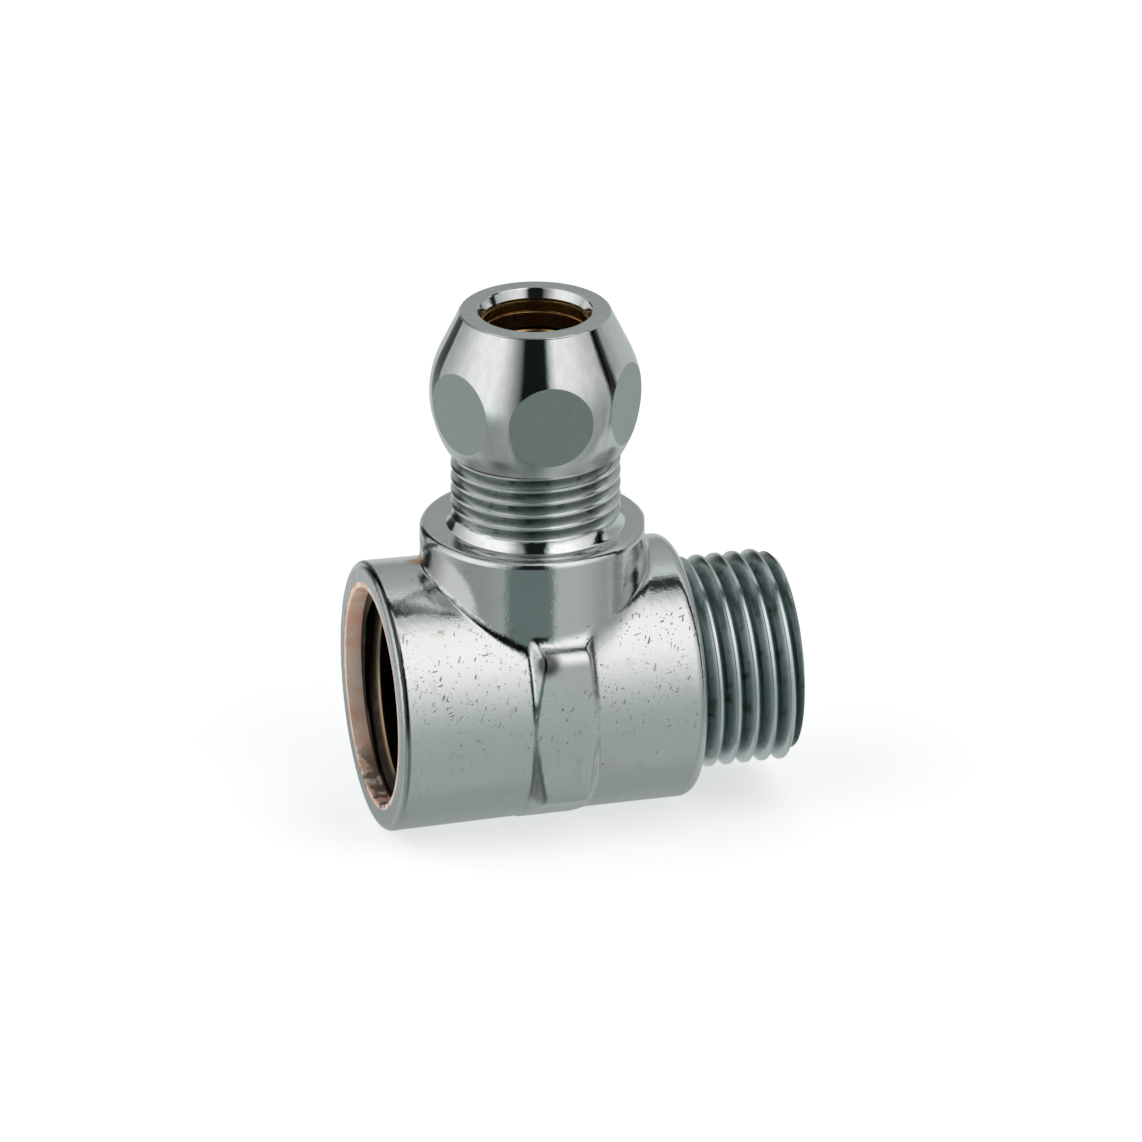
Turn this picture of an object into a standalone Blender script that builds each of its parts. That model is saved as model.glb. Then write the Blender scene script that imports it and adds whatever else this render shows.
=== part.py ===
"""A branch tee for 10 mm tube: a plated brass body, a compression nut and its ring.

The run lies along X, from the female socket to the male thread. The branch
rises along +Z from the point where the two axes cross, which is the origin.
Both threads are right-handed pipe threads with a 55 degree form.
"""
import math

import bmesh
import bpy
from mathutils import Matrix

MM = 0.001
FULL_TURN = 2 * math.pi

# Round pieces
SEGMENTS = 48
THREAD_SEGMENTS = 24
SMALL_ROUND_STEPS = 2
MERGE = 0.01 * MM

# How far a cutter runs past the piece it cuts, and how far a raised feature is sunk into what carries it
OVERRUN = 1.0 * MM
SINK = 0.12 * MM

# Pipe thread form
FLANK_SLOPE = math.tan(math.radians(27.5))
THREAD_DEPTH_PER_PITCH = 0.640327
CREST_PER_PITCH = 1 / 6

# Half inch pipe thread, on the run
RUN_PITCH = 1.814 * MM
RUN_MAJOR = 20.955 / 2 * MM
RUN_MINOR = RUN_MAJOR - THREAD_DEPTH_PER_PITCH * RUN_PITCH

# Three eighths pipe thread, on the branch
BRANCH_PITCH = 1.337 * MM
BRANCH_MAJOR = 16.662 / 2 * MM
BRANCH_MINOR = BRANCH_MAJOR - THREAD_DEPTH_PER_PITCH * BRANCH_PITCH
THREAD_CLEARANCE = 0.28 * MM

# Run: the socket barrel, the wrench band and the plain barrel
SOCKET_FACE = -16.72 * MM
SOCKET_MOUTH_R = 13.38 * MM
SOCKET_BARREL_R = 13.20 * MM
MOUTH_ROUND = 0.55 * MM
BAND_LEFT = -3.45 * MM
BAND_RIGHT = 2.85 * MM
BAND_APOTHEM = 13.12 * MM
BAND_CORNER_R = 14.90 * MM
BAND_CHAMFER = 1.1 * MM
BAND_CORE_R = 13.02 * MM
BAND_FOOT = 13.10 * MM
PLAIN_BARREL_R = 13.05 * MM
SHOULDER = 14.30 * MM
SHOULDER_ROUND = 1.35 * MM
SHOULDER_STEPS = 4

# Male end
MALE_END = 24.79 * MM
MALE_END_R = 9.69 * MM
MALE_CHAMFER = 0.95 * MM
MALE_CREST_AT_TOP = 17.98 * MM
RUN_BORE_R = 7.3 * MM

# Inside the socket
COUNTERBORE_R = 10.75 * MM
COUNTERBORE_DEPTH = 1.6 * MM
SOCKET_LEAD = 0.6 * MM
SOCKET_BOTTOM = -4.9 * MM
SOCKET_RELIEF = 1.6 * MM
SOCKET_CLEARANCE = 0.12 * MM

# Boss that carries the branch
BOSS_R = 11.15 * MM
BOSS_SHIFT = -0.25 * MM
BOSS_TOP = 17.14 * MM
BOSS_ROUND = 0.5 * MM
BOSS_ROOT = 2.0 * MM
BOSS_FLAT = 10.68 * MM
BOSS_FLAT_ANGLE = math.radians(-15)

# Branch stub
NECK_R = 8.25 * MM
NECK_FOOT_R = 8.75 * MM
NECK_TOP = 18.05 * MM
NECK_FOOT = 17.65 * MM
NECK_LEAD = 0.5 * MM
STUB_TOP = 30.8 * MM
STUB_CHAMFER = 0.8 * MM
STUB_THREAD_START = 18.4 * MM
STUB_CREST_AT_FRONT = 18.55 * MM
SEAT_MOUTH_R = 6.6 * MM
SEAT_DEPTH = 2.6 * MM
TUBE_POCKET_R = 5.1 * MM
TUBE_STOP = 21.5 * MM
BRANCH_BORE_R = 4.1 * MM

# Compression nut
NUT_BOTTOM = 25.2 * MM
NUT_TOP = 39.3 * MM
NUT_ACROSS_FLATS = 19.0 * MM
NUT_FLAT_ANGLE = math.radians(264.8)
NUT_TOP_R = 7.36 * MM
NUT_CONE_FOOT_R = 10.08 * MM
NUT_CONE_FOOT = 33.7 * MM
NUT_WAIST_R = 10.43 * MM
NUT_WAIST = 30.6 * MM
NUT_BOTTOM_R = 8.8 * MM
NUT_BULGE_POWER = 2
NUT_SKIRT_POWER = 1.85
NUT_CURVE_STEPS = 4
NUT_TUBE_R = 5.18 * MM
NUT_LIP_R = 5.58 * MM
NUT_LIP_DEPTH = 0.9 * MM
NUT_CONE_MOUTH_R = 6.9 * MM
NUT_CONE_MOUTH = 33.75 * MM
NUT_RELIEF_TOP = 33.2 * MM
NUT_RELIEF_BOTTOM = 32.2 * MM
NUT_RELIEF_LEAD = 0.4 * MM
NUT_THREAD_LEAD = 0.7 * MM

# Compression ring
RING_BOTTOM = 30.5 * MM
RING_TOP = 35.1 * MM
RING_BORE_R = 5.08 * MM
RING_END_R = 5.38 * MM
RING_R = 6.15 * MM
RING_CONE = 1.4 * MM


def clear_scene():
    """Remove every object, so that the script gives the same model each time."""
    for obj in list(bpy.data.objects):
        bpy.data.objects.remove(obj, do_unlink=True)


def add_collection(name):
    """A collection linked to the scene."""
    collection = bpy.data.collections.new(name)
    bpy.context.scene.collection.children.link(collection)
    return collection


def add_object(name, mesh, collection):
    """An object that shows a mesh, in a collection."""
    obj = bpy.data.objects.new(name, mesh)
    collection.objects.link(obj)
    return obj


def make_cutter(obj):
    """Mark an object as a guide that only shapes others."""
    obj.hide_render = True
    obj.display_type = "WIRE"
    return obj


def lay_along_run(obj):
    """Turn an object's own Z axis onto the run, along +X."""
    obj.rotation_euler = (0, math.pi / 2, 0)
    return obj


def arc(centre_r, centre_z, radius, start_deg, end_deg, steps):
    """Points (r, z) on a round corner, from one angle to another."""
    points = []
    for step in range(steps + 1):
        angle = math.radians(start_deg + (end_deg - start_deg) * step / steps)
        points.append((centre_r + radius * math.cos(angle), centre_z + radius * math.sin(angle)))
    return points


def turned(name, profile, collection, segments=SEGMENTS, closed=False):
    """A turned solid: (r, z) points, listed top to bottom down the outer side, spun about Z."""
    mesh = bpy.data.meshes.new(name)
    vertices = [(radius, 0, height) for radius, height in profile]
    edges = [(index, index + 1) for index in range(len(profile) - 1)]
    if closed:
        edges.append((len(profile) - 1, 0))
    mesh.from_pydata(vertices, edges, [])
    obj = add_object(name, mesh, collection)
    screw = obj.modifiers.new("Turn", "SCREW")
    screw.angle = FULL_TURN
    screw.steps = segments
    screw.render_steps = segments
    screw.use_merge_vertices = True
    screw.merge_threshold = MERGE
    return obj


def hexagon_bar(name, apothem, low, high, flat_angle, collection):
    """A hexagonal bar along Z, with one flat facing flat_angle."""
    mesh = bpy.data.meshes.new(name)
    bar = bmesh.new()
    corner_r = apothem / math.cos(math.pi / 6)
    bmesh.ops.create_cone(
        bar, cap_ends=True, segments=6, radius1=corner_r, radius2=corner_r, depth=high - low,
    )
    # The cone tool puts a flat at +X.
    bmesh.ops.rotate(bar, verts=bar.verts, matrix=Matrix.Rotation(flat_angle, 3, "Z"))
    bar.to_mesh(mesh)
    bar.free()
    obj = add_object(name, mesh, collection)
    obj.location = (0, 0, (low + high) / 2)
    return obj


def box(name, low, high, collection):
    """A box between two corners."""
    mesh = bpy.data.meshes.new(name)
    block = bmesh.new()
    bmesh.ops.create_cube(block, size=1.0)
    for vertex in block.verts:
        vertex.co = [low[axis] + (vertex.co[axis] + 0.5) * (high[axis] - low[axis]) for axis in range(3)]
    block.to_mesh(mesh)
    block.free()
    return add_object(name, mesh, collection)


def thread_ridge(name, major, minor, pitch, first_z, last_z, crest_z, collection):
    """A right-handed helical ridge about Z. crest_z is a height where its crest passes +X."""
    root = minor - SINK
    half_crest = CREST_PER_PITCH * pitch / 2
    half_root = half_crest + (major - root) * FLANK_SLOPE
    start = crest_z - math.ceil((crest_z - first_z) / pitch) * pitch
    turns = math.ceil((last_z - start) / pitch)
    section = ((root, -half_root), (major, -half_crest), (major, half_crest), (root, half_root))
    ridge = bmesh.new()
    corners = [ridge.verts.new((radius, 0, start + height)) for radius, height in section]
    ridge.faces.new(corners)
    bmesh.ops.spin(
        ridge,
        geom=ridge.verts[:] + ridge.edges[:] + ridge.faces[:],
        cent=(0, 0, 0),
        axis=(0, 0, 1),
        dvec=(0, 0, pitch / THREAD_SEGMENTS),
        angle=FULL_TURN * turns,
        steps=THREAD_SEGMENTS * turns,
        use_merge=False,
        use_duplicate=False,
    )
    bmesh.ops.recalc_face_normals(ridge, faces=ridge.faces[:])
    mesh = bpy.data.meshes.new(name)
    ridge.to_mesh(mesh)
    ridge.free()
    return add_object(name, mesh, collection)


def boolean(obj, operation, other):
    """Join, cut or intersect one object with another, and keep the other as a guide."""
    modifier = obj.modifiers.new(other.name, "BOOLEAN")
    modifier.operation = operation
    modifier.solver = "EXACT"
    modifier.object = make_cutter(other)


def plain_material(name, colour, roughness):
    """A metal with one colour and one roughness."""
    material = bpy.data.materials.new(name)
    material.use_nodes = True
    shader = material.node_tree.nodes["Principled BSDF"]
    shader.inputs["Base Color"].default_value = (*colour, 1)
    shader.inputs["Metallic"].default_value = 1
    shader.inputs["Roughness"].default_value = roughness
    return material


def run_profile():
    """The run's outer side, from the shoulder down to the socket's mouth."""
    mouth_corner = arc(
        SOCKET_MOUTH_R - MOUTH_ROUND, SOCKET_FACE + MOUTH_ROUND, MOUTH_ROUND, 0, -90, SMALL_ROUND_STEPS
    )
    shoulder_corner = arc(
        PLAIN_BARREL_R - SHOULDER_ROUND, SHOULDER - SHOULDER_ROUND, SHOULDER_ROUND, 90, 0, SHOULDER_STEPS
    )
    middle = [
        (BAND_CORE_R, BAND_RIGHT - BAND_CHAMFER / 2),
        (BAND_CORE_R, BAND_LEFT + BAND_CHAMFER / 2),
        (SOCKET_BARREL_R, BAND_LEFT),
    ]
    return [(0, SHOULDER)] + shoulder_corner + middle + mouth_corner + [(0, SOCKET_FACE)]


def wrench_band(cutters):
    """Six flats round the run, with cone-shaped steps at the corners and a trimmed foot."""
    profile = [
        (0, BAND_RIGHT),
        (PLAIN_BARREL_R - SINK, BAND_RIGHT),
        (BAND_CORNER_R, BAND_RIGHT - BAND_CHAMFER),
        (BAND_CORNER_R, BAND_LEFT + BAND_CHAMFER),
        (SOCKET_BARREL_R - SINK, BAND_LEFT),
        (0, BAND_LEFT),
    ]
    band = lay_along_run(turned("band_blank", profile, cutters))
    reach = 2 * BAND_CORNER_R
    flats = lay_along_run(hexagon_bar("band_flats", BAND_APOTHEM, -reach, reach, math.pi / 2, cutters))
    boolean(band, "INTERSECT", flats)
    foot = box("band_foot", (-reach, -reach, -BAND_FOOT), (reach, reach, reach), cutters)
    boolean(band, "INTERSECT", foot)
    return band


def boss(cutters):
    """The round boss under the branch, with its rim rounded and one small flat."""
    rim = arc(BOSS_R - BOSS_ROUND, BOSS_TOP - BOSS_ROUND, BOSS_ROUND, 90, 0, SMALL_ROUND_STEPS)
    profile = [(0, BOSS_TOP)] + rim + [(BOSS_R, BOSS_ROOT), (0, BOSS_ROOT)]
    blank = turned("boss_blank", profile, cutters)
    blank.location = (BOSS_SHIFT, 0, 0)
    reach = 2 * BOSS_R
    flat = box("boss_flat", (BOSS_FLAT, -reach, -reach), (reach, reach, reach), cutters)
    flat.rotation_euler = (0, 0, BOSS_FLAT_ANGLE)
    boolean(blank, "DIFFERENCE", flat)
    return blank


def stub(cutters):
    """The threaded branch stub with its plain neck."""
    core_profile = [
        (0, STUB_TOP + OVERRUN),
        (BRANCH_MINOR, STUB_TOP + OVERRUN),
        (BRANCH_MINOR, NECK_TOP + NECK_LEAD),
        (NECK_R, NECK_TOP),
        (NECK_R, NECK_FOOT),
        (NECK_FOOT_R, BOSS_TOP),
        (NECK_FOOT_R, BOSS_ROOT + OVERRUN),
        (0, BOSS_ROOT + OVERRUN),
    ]
    core = turned("stub_core", core_profile, cutters, THREAD_SEGMENTS)
    crest_at_side = STUB_CREST_AT_FRONT + BRANCH_PITCH / 4
    ridge = thread_ridge(
        "stub_ridge", BRANCH_MAJOR, BRANCH_MINOR, BRANCH_PITCH, STUB_THREAD_START - BRANCH_PITCH,
        STUB_TOP + BRANCH_PITCH, crest_at_side, cutters,
    )
    start_profile = [
        (0, STUB_TOP + 3 * BRANCH_PITCH),
        (BRANCH_MAJOR + OVERRUN, STUB_TOP + 3 * BRANCH_PITCH),
        (BRANCH_MAJOR + OVERRUN, STUB_THREAD_START),
        (0, STUB_THREAD_START),
    ]
    boolean(ridge, "INTERSECT", turned("stub_thread_start", start_profile, cutters, THREAD_SEGMENTS))
    boolean(core, "UNION", ridge)
    end_profile = [
        (0, STUB_TOP),
        (BRANCH_MAJOR - STUB_CHAMFER, STUB_TOP),
        (BRANCH_MAJOR + OVERRUN, STUB_TOP - STUB_CHAMFER - OVERRUN),
        (BRANCH_MAJOR + OVERRUN, BOSS_ROOT),
        (0, BOSS_ROOT),
    ]
    boolean(core, "INTERSECT", turned("stub_end", end_profile, cutters, THREAD_SEGMENTS))
    return core


def male_end(cutters):
    """The male thread on the run, with its chamfered end."""
    core_profile = [(0, MALE_END + OVERRUN), (RUN_MINOR, MALE_END + OVERRUN), (RUN_MINOR, 0), (0, 0)]
    core = lay_along_run(turned("male_core", core_profile, cutters, THREAD_SEGMENTS))
    ridge = lay_along_run(thread_ridge(
        "male_ridge", RUN_MAJOR, RUN_MINOR, RUN_PITCH, SHOULDER - 1.5 * RUN_PITCH,
        MALE_END + 2 * RUN_PITCH, MALE_CREST_AT_TOP + RUN_PITCH / 2, cutters,
    ))
    boolean(core, "UNION", ridge)
    end_profile = [
        (0, MALE_END),
        (MALE_END_R, MALE_END),
        (RUN_MAJOR + MALE_CHAMFER, MALE_END - 2 * MALE_CHAMFER),
        (RUN_MAJOR + MALE_CHAMFER, SHOULDER - 2 * OVERRUN),
        (0, SHOULDER - 2 * OVERRUN),
    ]
    envelope = turned("male_envelope", end_profile, cutters, THREAD_SEGMENTS)
    boolean(core, "INTERSECT", lay_along_run(envelope))
    return core


def run_bore(cutters):
    """The way through the run: counterbore, threaded socket and male bore."""
    thread_r = RUN_MINOR + SOCKET_CLEARANCE
    relief_r = RUN_MAJOR + 2 * SOCKET_CLEARANCE
    counterbore_end = SOCKET_FACE + COUNTERBORE_DEPTH
    profile = [
        (0, MALE_END + OVERRUN),
        (RUN_BORE_R, MALE_END + OVERRUN),
        (RUN_BORE_R, SOCKET_BOTTOM),
        (relief_r, SOCKET_BOTTOM),
        (relief_r, SOCKET_BOTTOM - SOCKET_RELIEF),
        (thread_r, SOCKET_BOTTOM - SOCKET_RELIEF - SOCKET_LEAD),
        (thread_r, counterbore_end + 2 * SOCKET_LEAD),
        (COUNTERBORE_R, counterbore_end),
        (COUNTERBORE_R, SOCKET_FACE - OVERRUN),
        (0, SOCKET_FACE - OVERRUN),
    ]
    bore = lay_along_run(turned("run_bore", profile, cutters, THREAD_SEGMENTS))
    ridge = lay_along_run(thread_ridge(
        "socket_ridge", RUN_MAJOR + SOCKET_CLEARANCE, thread_r, RUN_PITCH, SOCKET_FACE - RUN_PITCH,
        SOCKET_BOTTOM, SOCKET_FACE, cutters,
    ))
    limit_profile = [
        (0, SOCKET_BOTTOM - SOCKET_RELIEF / 2),
        (COUNTERBORE_R, SOCKET_BOTTOM - SOCKET_RELIEF / 2),
        (COUNTERBORE_R, counterbore_end - OVERRUN / 2),
        (0, counterbore_end - OVERRUN / 2),
    ]
    limit = turned("socket_limit", limit_profile, cutters, THREAD_SEGMENTS)
    boolean(ridge, "INTERSECT", lay_along_run(limit))
    boolean(bore, "UNION", ridge)
    return bore


def branch_bore(cutters):
    """The way up the branch: the water passage, the tube's pocket and the ring's seat."""
    seat_slope = (SEAT_MOUTH_R - TUBE_POCKET_R) / SEAT_DEPTH
    profile = [
        (0, STUB_TOP + OVERRUN),
        (SEAT_MOUTH_R + OVERRUN * seat_slope, STUB_TOP + OVERRUN),
        (TUBE_POCKET_R, STUB_TOP - SEAT_DEPTH),
        (TUBE_POCKET_R, TUBE_STOP),
        (BRANCH_BORE_R, TUBE_STOP),
        (BRANCH_BORE_R, 0),
        (0, 0),
    ]
    return turned("branch_bore", profile, cutters, THREAD_SEGMENTS)


def tee_body(parts, cutters):
    """The forged body with its machined threads and bores."""
    body = lay_along_run(turned("tee_body", run_profile(), parts))
    for solid in (wrench_band(cutters), boss(cutters), stub(cutters), male_end(cutters)):
        boolean(body, "UNION", solid)
    boolean(body, "DIFFERENCE", run_bore(cutters))
    boolean(body, "DIFFERENCE", branch_bore(cutters))
    return body


def nut_profile():
    """The nut's outer side: a cone above a barrel-shaped skirt."""
    points = [(0, NUT_TOP), (NUT_TOP_R, NUT_TOP)]
    for step in range(NUT_CURVE_STEPS + 1):
        share = step / NUT_CURVE_STEPS
        height = NUT_CONE_FOOT + (NUT_WAIST - NUT_CONE_FOOT) * share
        bulge = (NUT_WAIST_R - NUT_CONE_FOOT_R) * (1 - (1 - share) ** NUT_BULGE_POWER)
        points.append((NUT_CONE_FOOT_R + bulge, height))
    for step in range(1, NUT_CURVE_STEPS + 1):
        share = step / NUT_CURVE_STEPS
        height = NUT_WAIST + (NUT_BOTTOM - NUT_WAIST) * share
        tuck = (NUT_WAIST_R - NUT_BOTTOM_R) * share ** NUT_SKIRT_POWER
        points.append((NUT_WAIST_R - tuck, height))
    points.append((0, NUT_BOTTOM))
    return points


def nut_bore(cutters):
    """The nut's inside: its thread, the cone that holds the ring and the hole for the tube."""
    thread_r = BRANCH_MINOR + THREAD_CLEARANCE
    groove_r = BRANCH_MAJOR + THREAD_CLEARANCE
    profile = [
        (0, NUT_TOP + OVERRUN),
        (NUT_LIP_R, NUT_TOP + OVERRUN),
        (NUT_LIP_R, NUT_TOP),
        (NUT_TUBE_R, NUT_TOP - NUT_LIP_DEPTH),
        (NUT_TUBE_R, NUT_CONE_MOUTH + NUT_CONE_MOUTH_R - NUT_TUBE_R),
        (NUT_CONE_MOUTH_R, NUT_CONE_MOUTH),
        (NUT_CONE_MOUTH_R, NUT_RELIEF_TOP),
        (groove_r, NUT_RELIEF_TOP),
        (groove_r, NUT_RELIEF_BOTTOM),
        (thread_r, NUT_RELIEF_BOTTOM - NUT_RELIEF_LEAD),
        (thread_r, NUT_BOTTOM + NUT_THREAD_LEAD),
        (groove_r, NUT_BOTTOM),
        (groove_r, NUT_BOTTOM - OVERRUN),
        (0, NUT_BOTTOM - OVERRUN),
    ]
    bore = turned("nut_bore", profile, cutters, THREAD_SEGMENTS)
    ridge = thread_ridge(
        "nut_ridge", groove_r, thread_r, BRANCH_PITCH, NUT_BOTTOM - 2 * BRANCH_PITCH,
        NUT_RELIEF_TOP + BRANCH_PITCH, STUB_CREST_AT_FRONT + BRANCH_PITCH / 4, cutters,
    )
    limit_profile = [
        (0, (NUT_RELIEF_TOP + NUT_RELIEF_BOTTOM) / 2),
        (groove_r + OVERRUN, (NUT_RELIEF_TOP + NUT_RELIEF_BOTTOM) / 2),
        (groove_r + OVERRUN, NUT_BOTTOM - OVERRUN / 2),
        (0, NUT_BOTTOM - OVERRUN / 2),
    ]
    boolean(ridge, "INTERSECT", turned("nut_limit", limit_profile, cutters, THREAD_SEGMENTS))
    boolean(bore, "UNION", ridge)
    return bore


def compression_nut(parts, cutters):
    """The nut: a turned barrel with six round flats for the spanner."""
    nut = turned("compression_nut", nut_profile(), parts)
    flats = hexagon_bar(
        "nut_flats", NUT_ACROSS_FLATS / 2, NUT_BOTTOM - OVERRUN, NUT_TOP + OVERRUN,
        NUT_FLAT_ANGLE, cutters,
    )
    boolean(nut, "INTERSECT", flats)
    boolean(nut, "DIFFERENCE", nut_bore(cutters))
    return nut


def compression_ring(parts):
    """The ring that the nut squeezes onto the tube, with a cone at each end."""
    profile = [
        (RING_BORE_R, RING_TOP),
        (RING_END_R, RING_TOP),
        (RING_R, RING_TOP - RING_CONE),
        (RING_R, RING_BOTTOM + RING_CONE),
        (RING_END_R, RING_BOTTOM),
        (RING_BORE_R, RING_BOTTOM),
    ]
    return turned("compression_ring", profile, parts, closed=True)


def main():
    clear_scene()
    parts = add_collection("branch_tee")
    cutters = add_collection("cutters")
    chrome = plain_material("chrome_plate", (0.62, 0.64, 0.64), 0.12)
    nut_chrome = plain_material("nut_chrome_plate", (0.58, 0.61, 0.61), 0.14)
    brass = plain_material("bare_brass", (0.72, 0.50, 0.22), 0.3)
    pieces = {
        chrome: tee_body(parts, cutters),
        nut_chrome: compression_nut(parts, cutters),
        brass: compression_ring(parts),
    }
    for material, piece in pieces.items():
        piece.data.materials.append(material)


main()
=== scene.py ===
"""Looks of a plated branch tee: its forged body, its threads, its nut and the brass ring inside.

Shapes are worked out in millimetres, in the frame of the CAD part, and become metres when a mesh is made.
"""
import math

import bmesh
import bpy
import numpy as np
from mathutils import Matrix, Vector


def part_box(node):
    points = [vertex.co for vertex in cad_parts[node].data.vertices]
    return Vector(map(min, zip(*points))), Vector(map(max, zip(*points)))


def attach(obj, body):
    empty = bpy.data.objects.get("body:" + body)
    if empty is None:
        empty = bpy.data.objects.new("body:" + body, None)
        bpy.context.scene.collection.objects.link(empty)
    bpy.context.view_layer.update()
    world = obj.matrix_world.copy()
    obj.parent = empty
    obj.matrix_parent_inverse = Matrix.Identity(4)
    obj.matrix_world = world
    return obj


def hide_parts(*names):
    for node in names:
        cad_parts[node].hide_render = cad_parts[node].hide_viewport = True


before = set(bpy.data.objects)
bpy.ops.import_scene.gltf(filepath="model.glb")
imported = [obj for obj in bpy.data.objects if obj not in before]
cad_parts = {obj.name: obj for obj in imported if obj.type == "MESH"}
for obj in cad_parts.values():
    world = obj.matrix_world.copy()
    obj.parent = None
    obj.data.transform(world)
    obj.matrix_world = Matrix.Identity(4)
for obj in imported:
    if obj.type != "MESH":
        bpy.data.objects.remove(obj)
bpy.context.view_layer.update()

MM = 0.001
BODY_LOW, BODY_HIGH = (np.array(corner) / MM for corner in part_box("tee_body"))
NUT_LOW, NUT_HIGH = (np.array(corner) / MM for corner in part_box("compression_nut"))
RING_LOW, RING_HIGH = (np.array(corner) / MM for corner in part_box("compression_ring"))

# Threads: pitch, radius at the crests and radius at the roots of the male thread
RUN_PITCH, RUN_MAJOR, RUN_MINOR = 1.814, 10.4775, 9.316
BRANCH_PITCH, BRANCH_MAJOR, BRANCH_MINOR = 1.337, 8.331, 7.475
# The room in the female threads
SOCKET_CLEARANCE = 0.12
NUT_CLEARANCE = 0.28
# A thread's section, in shares of a pitch, and how straight its flanks are
ROOT_START, FLANK_WIDTH, FLANK_STRAIGHTNESS = 0.485, 0.40, 0.75
# Where a crest lies along each axis
MALE_CREST = 17.525 + RUN_PITCH / 2
STUB_CREST = 18.215 + BRANCH_PITCH / 4

# Run, along X. A root is how deep a threaded piece starts in the forging, and a hollow makes room for it
SOCKET_FACE, MALE_END = BODY_LOW[0], BODY_HIGH[0]
SOCKET_MOUTH_R, SOCKET_BARREL_R, MOUTH_ROUND = -BODY_LOW[2], 13.20, 0.75
PLAIN_BARREL_R, SHOULDER, SHOULDER_ROUND = 13.05, 14.30, 1.35
BAND_LEFT, BAND_RIGHT, BAND_APOTHEM, BAND_FOOT = -3.45, 2.85, 13.12, 13.10
BAND_LEFT_RUN, BAND_RIGHT_RUN, BAND_RISE = 0.85, 0.5, 1.85
BAND_LEFT_ROUND, BAND_RIGHT_ROUND, BAND_CORNER_ROUND, BAND_FOOT_ROUND = 0.4, 0.6, 0.9, 0.3
STEP_START = 0.06
HEX_SLANT = math.sqrt(3) / 2
BARREL_CHANGE, SOCKET_BARREL_END, PLAIN_BARREL_START = -0.3, 2.0, -3.0
COUNTERBORE_R, COUNTERBORE_DEPTH = 10.75, 1.6
SOCKET_BOTTOM, SOCKET_HIDDEN_R = -4.9, 11.1
RUN_BORE_R, MALE_HIDDEN_R, MALE_END_R = 7.3, 8.2, 9.69
MALE_ROOT, MALE_HOLLOW, MALE_CHAMFER_SLOPE, BORE_CHAMFER = 1.8, 2.0, 0.9, 0.25
SOCKET_LEAD, SOCKET_RUNOUT_START, SOCKET_RUNOUT_END = 0.75, 1.9, 1.3
LINER, LINER_OVERLAP = 0.25, 0.05

# Branch, along Z. The stub's neck flares down to its foot on the boss
BOSS_R, BOSS_SHIFT, BOSS_BOTTOM, BOSS_TOP, BOSS_ROUND = 11.15, -0.25, -6.0, 17.14, 0.7
BOSS_FLAT, BOSS_FLAT_ANGLE, BOSS_FLAT_ROUND = 10.68, math.radians(-15), 0.15
NECK_R, NECK_FOOT_R, NECK_TOP, NECK_FLARE = 8.25, 8.85, 18.05, 1.3
STUB_ROOT, STUB_HOLLOW, STUB_HIDDEN_R = 1.4, 1.7, 6.0
STUB_RUNOUT, STUB_START, STUB_FADE, STUB_CHAMFER = 0.7, 0.2, 0.3, 0.8
STUB_TOP = BODY_HIGH[2]
SEAT_MOUTH_R, SEAT_DEPTH, TUBE_POCKET_R, TUBE_STOP, BRANCH_BORE_R = 6.6, 2.6, 5.1, 21.5, 4.1

# Fillets of the forging: the places along the run, and the sizes there
BAND_FILLETS = ((-3.0, 2.0), (0.35, 0.6))
BOSS_FILLETS = ((-4.0, 4.0), (0.5, 1.1))
BORE_ROUND = 0.22

# Nut
NUT_BOTTOM, NUT_TOP = NUT_LOW[2], NUT_HIGH[2]
NUT_APOTHEM, NUT_FLAT_ANGLE = 9.5, math.radians(264.8)
NUT_TOP_R, NUT_CONE_FOOT_R, NUT_CONE_FOOT = 7.36, 10.08, 33.7
NUT_WAIST_R, NUT_WAIST, NUT_BOTTOM_R, NUT_SKIRT_POWER = NUT_HIGH[0], 30.6, 8.8, 1.85
NUT_LIP_R, NUT_TUBE_R, NUT_LIP_DEPTH = 5.58, 5.18, 0.9
NUT_CONE_MOUTH_R, NUT_CONE_MOUTH, NUT_RELIEF_TOP = 6.9, 33.75, 33.2
NUT_RIM_ROUND, NUT_RIM_START, NUT_SMOOTHING, NUT_SMOOTHING_FADE = 0.14, 0.13, 1.6, 3.0
NUT_THREAD_INSET, NUT_THREAD_LEAD, NUT_RUNOUT_START, NUT_RUNOUT_END = 0.35, 0.6, 1.2, 0.8
NUT_THREAD_TOP_GAP, NUT_THREAD_WALL = 0.3, 0.12
NUT_LIP_EDGE, NUT_GROOVE_R, NUT_LINE_DEPTH, NUT_LINE = 0.08, NUT_TUBE_R + 0.22, 0.12, NUT_TOP - 2.3
NUT_BARE_R, NUT_BARE_TOP, FLAT_TOLERANCE = NUT_TUBE_R + 0.3, NUT_TOP - NUT_LIP_DEPTH - 0.3, 0.002

# Ring
RING_R, RING_BORE_R, RING_END_R, RING_CONE = RING_HIGH[0], 5.08, 5.38, 1.4
RING_BORE_CHAMFER_R, RING_BORE_CHAMFER, RING_EDGE_DROP, RING_EDGE = 0.1, 0.15, 0.05, 0.1

# Camera
CAMERA_AZIMUTH = math.radians(-14.64)
CAMERA_ELEVATION = math.radians(23.66)
CAMERA_ROLL = math.radians(-0.08)
CAMERA_DISTANCE, CAMERA_LENS = 1278.0, 408.9
AIM_RIGHT, AIM_UP = 3.456, 10.569

# Fineness of the meshes
BODY_CELL = 0.22
BODY_KEEP = 0.42
BODY_SIDE_ROOM = 1.6
LEAST_SLOPE_SQUARED = 0.25
THREAD_STEPS, THREAD_ROWS = 120, 14
TURN_STEPS = 240
WELD_DISTANCE = 1e-7


# ---------------------------------------------------------------- meshes

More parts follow.
